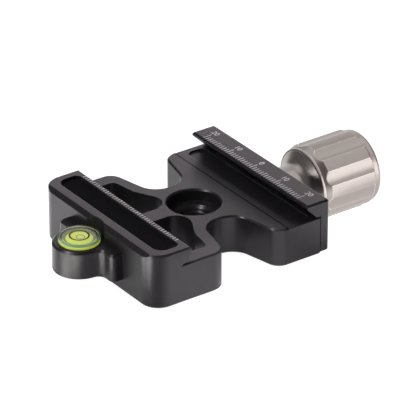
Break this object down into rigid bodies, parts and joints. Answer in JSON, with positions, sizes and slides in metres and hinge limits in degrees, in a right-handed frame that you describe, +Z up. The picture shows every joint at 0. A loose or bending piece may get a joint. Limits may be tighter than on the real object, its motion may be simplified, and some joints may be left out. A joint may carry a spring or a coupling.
{
  "type": "dovetail quick release clamp",
  "caption": "Screw-knob clamp with a dovetail channel for a camera plate, a waisted plate with a tripod hole, and a round bubble level on an ear.",
  "frame": {"origin": "on the axis of the tripod hole, in the clamp's flat bottom face", "axes": "+X from the fixed jaw to the knob, along the clamping screw; +Y along the jaws; +Z up, out of the dovetail channel"},
  "size_m": [0.0933, 0.0494, 0.0201],
  "materials": {
    "black_anodised": "fine satin black anodised",
    "champagne_anodised": "satin champagne anodised",
    "steel": "turned steel",
    "spring_steel": "drawn wire",
    "washer_plastic": "matt",
    "strip_rubber": "matt black",
    "clear_case": "clear polished",
    "level_fluid": "clear yellow-green liquid",
    "level_air": "air bubble",
    "level_plug": "pale matt"
  },
  "bodies": {
    "base": {"clamp_body": "black_anodised", "slot_strip": "strip_rubber", "clamp_stud": "steel", "stud_set_screw": "steel", "return_spring_left": "spring_steel", "return_spring_right": "spring_steel", "stop_washer": "steel", "stop_screw": "steel", "level_case": "clear_case", "level_base": "level_plug", "level_liquid": "level_fluid", "level_bubble": "level_air"},
    "jaw": {"moving_jaw": "black_anodised", "guide_pin_left": "steel", "guide_pin_right": "steel", "thrust_washer": "washer_plastic"},
    "knob": {"knob": "champagne_anodised"}
  },
  "joints": [
    {"name": "jaw_slide", "type": "slide", "parent": "base", "child": "jaw", "axis": [1, 0, 0], "range_m": [0, 0.006], "deforming": ["return_spring_left", "return_spring_right"]},
    {"name": "knob_turn", "type": "hinge", "parent": "jaw", "child": "knob", "pos_m": [0.0244, 0, 0.005], "axis": [1, 0, 0], "range_deg": [0, 2160]}
  ],
  "couplings": [
    {"joint": "knob_turn", "follows": "jaw_slide", "rad_per_m": 6283.2}
  ]
}
